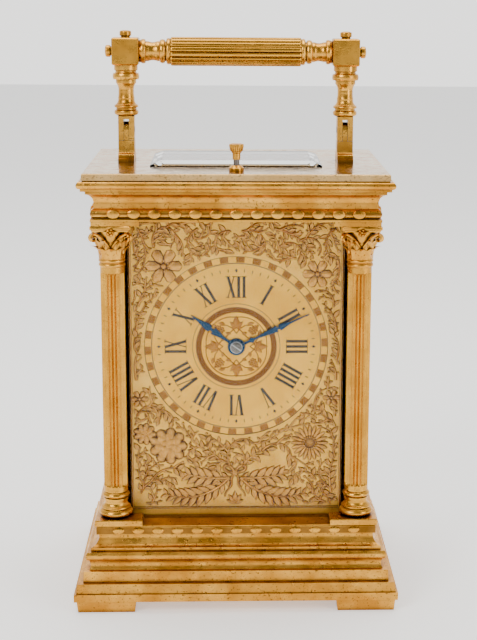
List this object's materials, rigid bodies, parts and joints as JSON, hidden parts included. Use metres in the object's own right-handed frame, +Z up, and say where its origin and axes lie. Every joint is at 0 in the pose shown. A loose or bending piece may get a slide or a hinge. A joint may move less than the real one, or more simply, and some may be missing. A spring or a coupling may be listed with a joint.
{
  "type": "carriage clock",
  "caption": "Portable repeating mantel clock in a glazed gilt brass case with fluted corner columns, a folding handle and a gilt floral dial.",
  "frame": {"origin": "on the resting surface, under the middle of the base", "axes": "+Z up, -Y out of the dial, +X to the right of the dial as seen from the front"},
  "size_m": [0.1202, 0.096, 0.2111],
  "materials": {
    "gilt_brass": "fire gilt brass, worn and tarnished in the recesses",
    "plain_brass": "grained and lacquered brass",
    "gilt_dial": "matted pale gilding",
    "polished_steel": "polished steel",
    "blued_steel": "heat blued steel",
    "clear_glass": "clear bevelled glass"
  },
  "bodies": {
    "root": {"base_moulding": "gilt_brass", "feet": "gilt_brass", "column_plinths": "gilt_brass", "columns": "gilt_brass", "capitals": "gilt_brass", "front_posts": "gilt_brass", "rear_frame": "gilt_brass", "cornice": "gilt_brass", "top_plate": "gilt_brass", "handle_brackets": "gilt_brass", "button_bush": "gilt_brass", "bottom_plate": "plain_brass", "front_plate": "plain_brass", "back_plate": "plain_brass", "movement_pillars": "plain_brass", "platform_plate": "plain_brass", "balance_cock": "plain_brass", "dial_mask": "gilt_dial", "dial_plate": "gilt_dial", "repeat_spring": "polished_steel", "gong": "blued_steel", "movement_screws": "blued_steel", "top_glass": "clear_glass", "front_glass": "clear_glass", "side_glasses": "clear_glass"},
    "handle": {"handle_grip": "gilt_brass", "handle_bar_ends": "gilt_brass", "handle_corner_blocks": "gilt_brass", "handle_cap_knobs": "gilt_brass", "handle_uprights": "gilt_brass", "handle_pivot_pins": "polished_steel"},
    "repeater": {"repeat_button": "gilt_brass", "repeat_rod": "polished_steel"},
    "repeat_rocker": {"repeat_lever": "polished_steel"},
    "door": {"door_frame": "gilt_brass", "door_glass": "clear_glass", "door_knob": "gilt_brass", "door_pins": "polished_steel"},
    "minute_arbor": {"centre_arbor": "polished_steel", "minute_hand": "blued_steel"},
    "hour_pipe": {"hour_wheel": "plain_brass", "hour_hand": "blued_steel"},
    "minute_work": {"minute_wheel": "plain_brass"},
    "contrate": {"contrate_wheel": "plain_brass"},
    "third": {"third_wheel": "plain_brass"},
    "centre": {"centre_wheel": "plain_brass"},
    "going_drum": {"going_barrel": "plain_brass"},
    "escape": {"escape_wheel": "polished_steel"},
    "strike_third": {"strike_third_wheel": "plain_brass"},
    "strike_second": {"strike_second_wheel": "plain_brass"},
    "strike_drum": {"strike_barrel": "plain_brass"},
    "fly_arbor": {"fly": "plain_brass"},
    "going_arbor": {"going_winding_arbor": "polished_steel"},
    "strike_arbor": {"strike_winding_arbor": "polished_steel"},
    "going_pawl": {"going_click": "polished_steel"},
    "strike_pawl": {"strike_click": "polished_steel"},
    "balance": {"balance_wheel": "plain_brass"},
    "pallets": {"pallet_lever": "polished_steel"},
    "regulator": {"regulator_index": "polished_steel"},
    "hammer_arm": {"hammer": "polished_steel"}
  },
  "joints": [
    {"name": "handle_fold", "type": "hinge", "parent": "root", "child": "handle", "pos_m": [0, 0, 0.1745], "axis": [-1, 0, 0], "range_deg": [0, 90]},
    {"name": "repeat_press", "type": "slide", "parent": "root", "child": "repeater", "axis": [0, 0, -1], "range_m": [0, 0.0019], "stiffness_N_per_m": 400, "springref_m": -0.002, "deforming": ["repeat_spring"]},
    {"name": "repeat_rock", "type": "hinge", "parent": "root", "child": "repeat_rocker", "pos_m": [-0.009, -0.0246, 0.113], "axis": [0, 1, 0], "range_deg": [0, 12.5]},
    {"name": "door_swing", "type": "hinge", "parent": "root", "child": "door", "pos_m": [-0.035, 0.0286, 0.088], "axis": [0, 0, 1], "range_deg": [0, 95]},
    {"name": "hand_setting", "type": "hinge", "parent": "root", "child": "minute_arbor", "pos_m": [0, -0.02, 0.0967], "axis": [0, 1, 0], "continuous": true},
    {"name": "hour_turn", "type": "hinge", "parent": "root", "child": "hour_pipe", "pos_m": [0, -0.022, 0.0967], "axis": [0, 1, 0], "continuous": true},
    {"name": "minute_work_turn", "type": "hinge", "parent": "root", "child": "minute_work", "pos_m": [0, -0.02, 0.0895], "axis": [0, 1, 0], "continuous": true},
    {"name": "train_run", "type": "hinge", "parent": "root", "child": "contrate", "pos_m": [0, 0, 0.12071], "axis": [0, 1, 0], "continuous": true},
    {"name": "third_turn", "type": "hinge", "parent": "root", "child": "third", "pos_m": [0.0072, 0, 0.10917], "axis": [0, 1, 0], "continuous": true},
    {"name": "centre_turn", "type": "hinge", "parent": "root", "child": "centre", "pos_m": [0, -0.008, 0.0967], "axis": [0, 1, 0], "continuous": true},
    {"name": "going_barrel_turn", "type": "hinge", "parent": "root", "child": "going_drum", "pos_m": [0.0155, 0, 0.08879], "axis": [0, 1, 0], "continuous": true},
    {"name": "escape_turn", "type": "hinge", "parent": "root", "child": "escape", "pos_m": [0, 0.0067, 0.132], "axis": [0, 0, 1], "continuous": true},
    {"name": "strike_run", "type": "hinge", "parent": "root", "child": "strike_third", "pos_m": [-0.01734, 0, 0.11948], "axis": [0, 1, 0], "continuous": true},
    {"name": "strike_second_turn", "type": "hinge", "parent": "root", "child": "strike_second", "pos_m": [-0.01852, 0, 0.10593], "axis": [0, 1, 0], "continuous": true},
    {"name": "strike_barrel_turn", "type": "hinge", "parent": "root", "child": "strike_drum", "pos_m": [-0.0155, 0, 0.08879], "axis": [0, 1, 0], "continuous": true},
    {"name": "fly_turn", "type": "hinge", "parent": "root", "child": "fly_arbor", "pos_m": [-0.00853, 0, 0.11518], "axis": [0, 1, 0], "continuous": true},
    {"name": "going_wind", "type": "hinge", "parent": "root", "child": "going_arbor", "pos_m": [0.0155, 0.02, 0.08879], "axis": [0, 1, 0], "continuous": true},
    {"name": "strike_wind", "type": "hinge", "parent": "root", "child": "strike_arbor", "pos_m": [-0.0155, 0.02, 0.08879], "axis": [0, 1, 0], "continuous": true},
    {"name": "going_click_lift", "type": "hinge", "parent": "root", "child": "going_pawl", "pos_m": [0.007, 0.0166, 0.08379], "axis": [0, 1, 0], "range_deg": [0, 12]},
    {"name": "strike_click_lift", "type": "hinge", "parent": "root", "child": "strike_pawl", "pos_m": [-0.007, 0.0166, 0.08379], "axis": [0, -1, 0], "range_deg": [0, 12]},
    {"name": "balance_swing", "type": "hinge", "parent": "root", "child": "balance", "pos_m": [0, -0.0066, 0.136], "axis": [0, 0, 1], "range_deg": [-26, 26]},
    {"name": "pallet_rock", "type": "hinge", "parent": "root", "child": "pallets", "pos_m": [0, 0.0008, 0.134], "axis": [0, 0, 1], "range_deg": [-5.2, 5.2]},
    {"name": "regulator_shift", "type": "hinge", "parent": "root", "child": "regulator", "pos_m": [0, -0.0066, 0.14], "axis": [0, 0, 1], "range_deg": [-20, 20]},
    {"name": "hammer_swing", "type": "hinge", "parent": "root", "child": "hammer_arm", "pos_m": [0.027, 0.018, 0.047], "axis": [0, 1, 0], "range_deg": [0, 10]}
  ],
  "couplings": [
    {"joint": "repeat_rock", "follows": "repeat_press", "rad_per_m": 112.36},
    {"joint": "hour_turn", "follows": "hand_setting", "ratio": 0.083333},
    {"joint": "minute_work_turn", "follows": "hand_setting", "ratio": -0.33333},
    {"joint": "third_turn", "follows": "train_run", "ratio": -0.13333},
    {"joint": "centre_turn", "follows": "train_run", "ratio": 0.016667},
    {"joint": "going_barrel_turn", "follows": "train_run", "ratio": -0.0034722},
    {"joint": "escape_turn", "follows": "train_run", "ratio": 10},
    {"joint": "strike_second_turn", "follows": "strike_run", "ratio": -0.13333},
    {"joint": "strike_barrel_turn", "follows": "strike_run", "ratio": 0.027778},
    {"joint": "fly_turn", "follows": "strike_run", "ratio": -6},
    {"joint": "pallet_rock", "follows": "balance_swing", "ratio": -0.19355}
  ]
}
